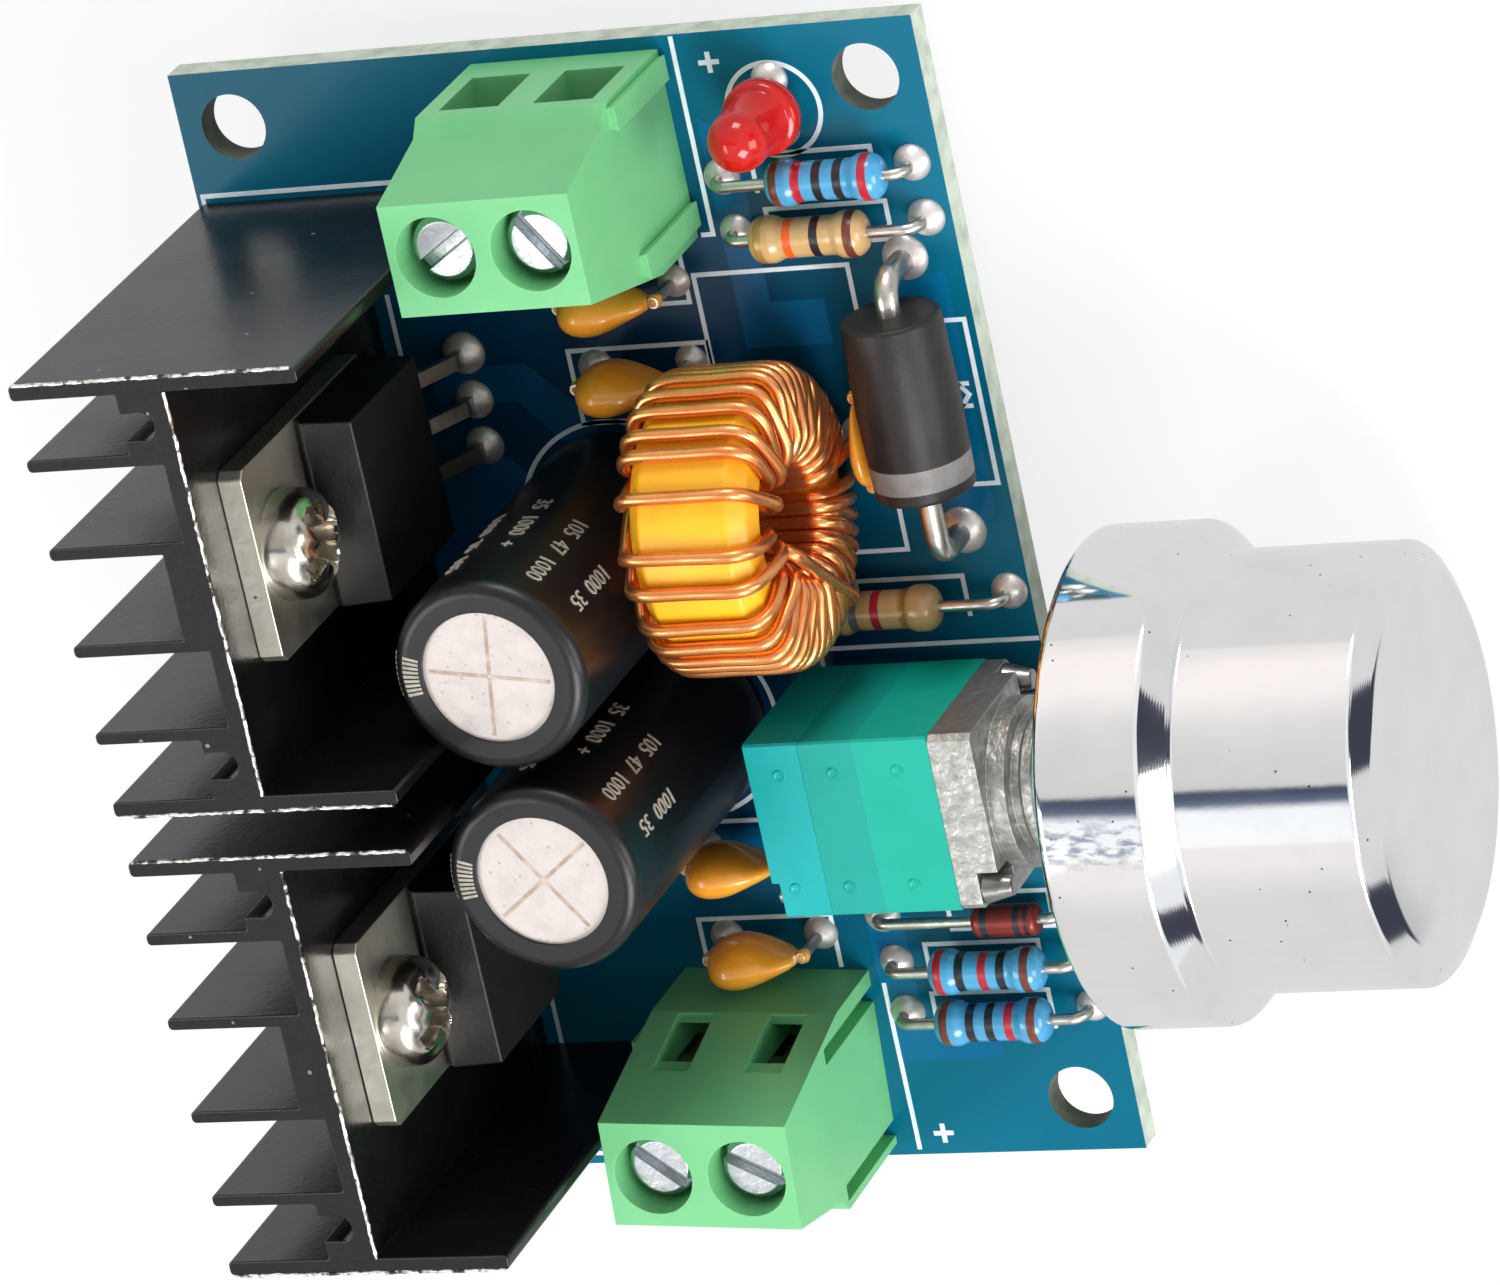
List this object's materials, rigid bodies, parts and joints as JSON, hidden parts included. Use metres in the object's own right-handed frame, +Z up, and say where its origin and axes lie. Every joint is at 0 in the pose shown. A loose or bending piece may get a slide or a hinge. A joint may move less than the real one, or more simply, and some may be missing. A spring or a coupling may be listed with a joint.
{
  "type": "adjustable step-down converter module",
  "caption": "Circuit board that lowers a DC voltage, with finned heatsinks, a toroid inductor, screw terminals and a knob that sets the output.",
  "frame": {"origin": "on the underside of the circuit board, at the centre of its four mounting holes", "axes": "+Z points up off the board, +X points along the shaft to the knob, +Y points to the output terminal"},
  "size_m": [0.0624, 0.062, 0.0301],
  "materials": {
    "solder_mask": "gloss",
    "solder": "gloss",
    "tinned_wire": "satin",
    "black_anodised": "satin",
    "tinned_tab": "satin",
    "package_epoxy": "matte",
    "zinc_plated_steel": "gloss",
    "can_aluminium": "satin",
    "black_sleeve": "gloss",
    "bung_rubber": "matte",
    "core_coating": "satin",
    "enamelled_copper": "gloss",
    "diode_epoxy": "satin",
    "resistor_blue": "gloss",
    "resistor_beige": "gloss",
    "diode_glass": "gloss",
    "led_red": "gloss",
    "capacitor_orange": "gloss",
    "potentiometer_teal": "satin",
    "cast_zinc": "satin",
    "polished_aluminium": "polished",
    "terminal_green": "satin",
    "terminal_metal": "satin"
  },
  "bodies": {
    "module": {"circuit_board": "solder_mask", "solder_joints": "solder", "output_heatsink": "black_anodised", "input_heatsink": "black_anodised", "heatsink_pins": "tinned_wire", "rectifier_tab": "tinned_tab", "rectifier_body": "package_epoxy", "rectifier_leads": "tinned_wire", "regulator_tab": "tinned_tab", "regulator_body": "package_epoxy", "regulator_leads": "tinned_wire", "package_screws": "zinc_plated_steel", "output_capacitor_can": "can_aluminium", "output_capacitor_sleeve": "black_sleeve", "output_capacitor_bung": "bung_rubber", "input_capacitor_can": "can_aluminium", "input_capacitor_sleeve": "black_sleeve", "input_capacitor_bung": "bung_rubber", "electrolytic_leads": "tinned_wire", "inductor_core": "core_coating", "inductor_winding": "enamelled_copper", "power_diode_body": "diode_epoxy", "power_diode_leads": "tinned_wire", "metal_film_resistors": "resistor_blue", "carbon_film_resistors": "resistor_beige", "resistor_leads": "tinned_wire", "glass_diode_body": "diode_glass", "glass_diode_leads": "tinned_wire", "led_lens": "led_red", "led_leads": "tinned_wire", "ceramic_capacitors": "capacitor_orange", "ceramic_capacitor_leads": "tinned_wire", "potentiometer_rear_wafer": "potentiometer_teal", "potentiometer_middle_wafer": "potentiometer_teal", "potentiometer_front_wafer": "potentiometer_teal", "potentiometer_faceplate": "cast_zinc", "potentiometer_rivets": "zinc_plated_steel", "potentiometer_pins": "tinned_wire", "output_terminal_housing": "terminal_green", "output_terminal_pins": "terminal_metal", "input_terminal_housing": "terminal_green", "input_terminal_pins": "terminal_metal"},
    "knob": {"adjusting_knob": "polished_aluminium", "potentiometer_shaft": "cast_zinc"},
    "output_left_screw": {"output_left_clamp_screw": "zinc_plated_steel"},
    "output_left_cage": {"output_left_clamp_cage": "terminal_metal"},
    "output_right_screw": {"output_right_clamp_screw": "zinc_plated_steel"},
    "output_right_cage": {"output_right_clamp_cage": "terminal_metal"},
    "input_left_screw": {"input_left_clamp_screw": "zinc_plated_steel"},
    "input_left_cage": {"input_left_clamp_cage": "terminal_metal"},
    "input_right_screw": {"input_right_clamp_screw": "zinc_plated_steel"},
    "input_right_cage": {"input_right_clamp_cage": "terminal_metal"}
  },
  "joints": [
    {"name": "knob_turn", "type": "hinge", "parent": "module", "child": "knob", "pos_m": [0.03, -0.00725, 0.008], "axis": [1, 0, 0], "range_deg": [-150, 150]},
    {"name": "output_left_screw_turn", "type": "hinge", "parent": "module", "child": "output_left_screw", "pos_m": [-0.00099, 0.0253, 0.012], "axis": [0, 0, -1], "range_deg": [0, 1800]},
    {"name": "output_left_cage_rise", "type": "slide", "parent": "module", "child": "output_left_cage", "axis": [0, 0, 1], "range_m": [0, 0.0025]},
    {"name": "output_right_screw_turn", "type": "hinge", "parent": "module", "child": "output_right_screw", "pos_m": [0.00409, 0.0253, 0.012], "axis": [0, 0, -1], "range_deg": [0, 1800]},
    {"name": "output_right_cage_rise", "type": "slide", "parent": "module", "child": "output_right_cage", "axis": [0, 0, 1], "range_m": [0, 0.0025]},
    {"name": "input_left_screw_turn", "type": "hinge", "parent": "module", "child": "input_left_screw", "pos_m": [0.00432, -0.02518, 0.012], "axis": [0, 0, -1], "range_deg": [0, 1800]},
    {"name": "input_left_cage_rise", "type": "slide", "parent": "module", "child": "input_left_cage", "axis": [0, 0, 1], "range_m": [0, 0.0025]},
    {"name": "input_right_screw_turn", "type": "hinge", "parent": "module", "child": "input_right_screw", "pos_m": [-0.00075, -0.02491, 0.012], "axis": [0, 0, -1], "range_deg": [0, 1800]},
    {"name": "input_right_cage_rise", "type": "slide", "parent": "module", "child": "input_right_cage", "axis": [0, 0, 1], "range_m": [0, 0.0025]}
  ],
  "couplings": [
    {"joint": "output_left_screw_turn", "follows": "output_left_cage_rise", "rad_per_m": 12566},
    {"joint": "output_right_screw_turn", "follows": "output_right_cage_rise", "rad_per_m": 12566},
    {"joint": "input_left_screw_turn", "follows": "input_left_cage_rise", "rad_per_m": 12566},
    {"joint": "input_right_screw_turn", "follows": "input_right_cage_rise", "rad_per_m": 12566}
  ]
}
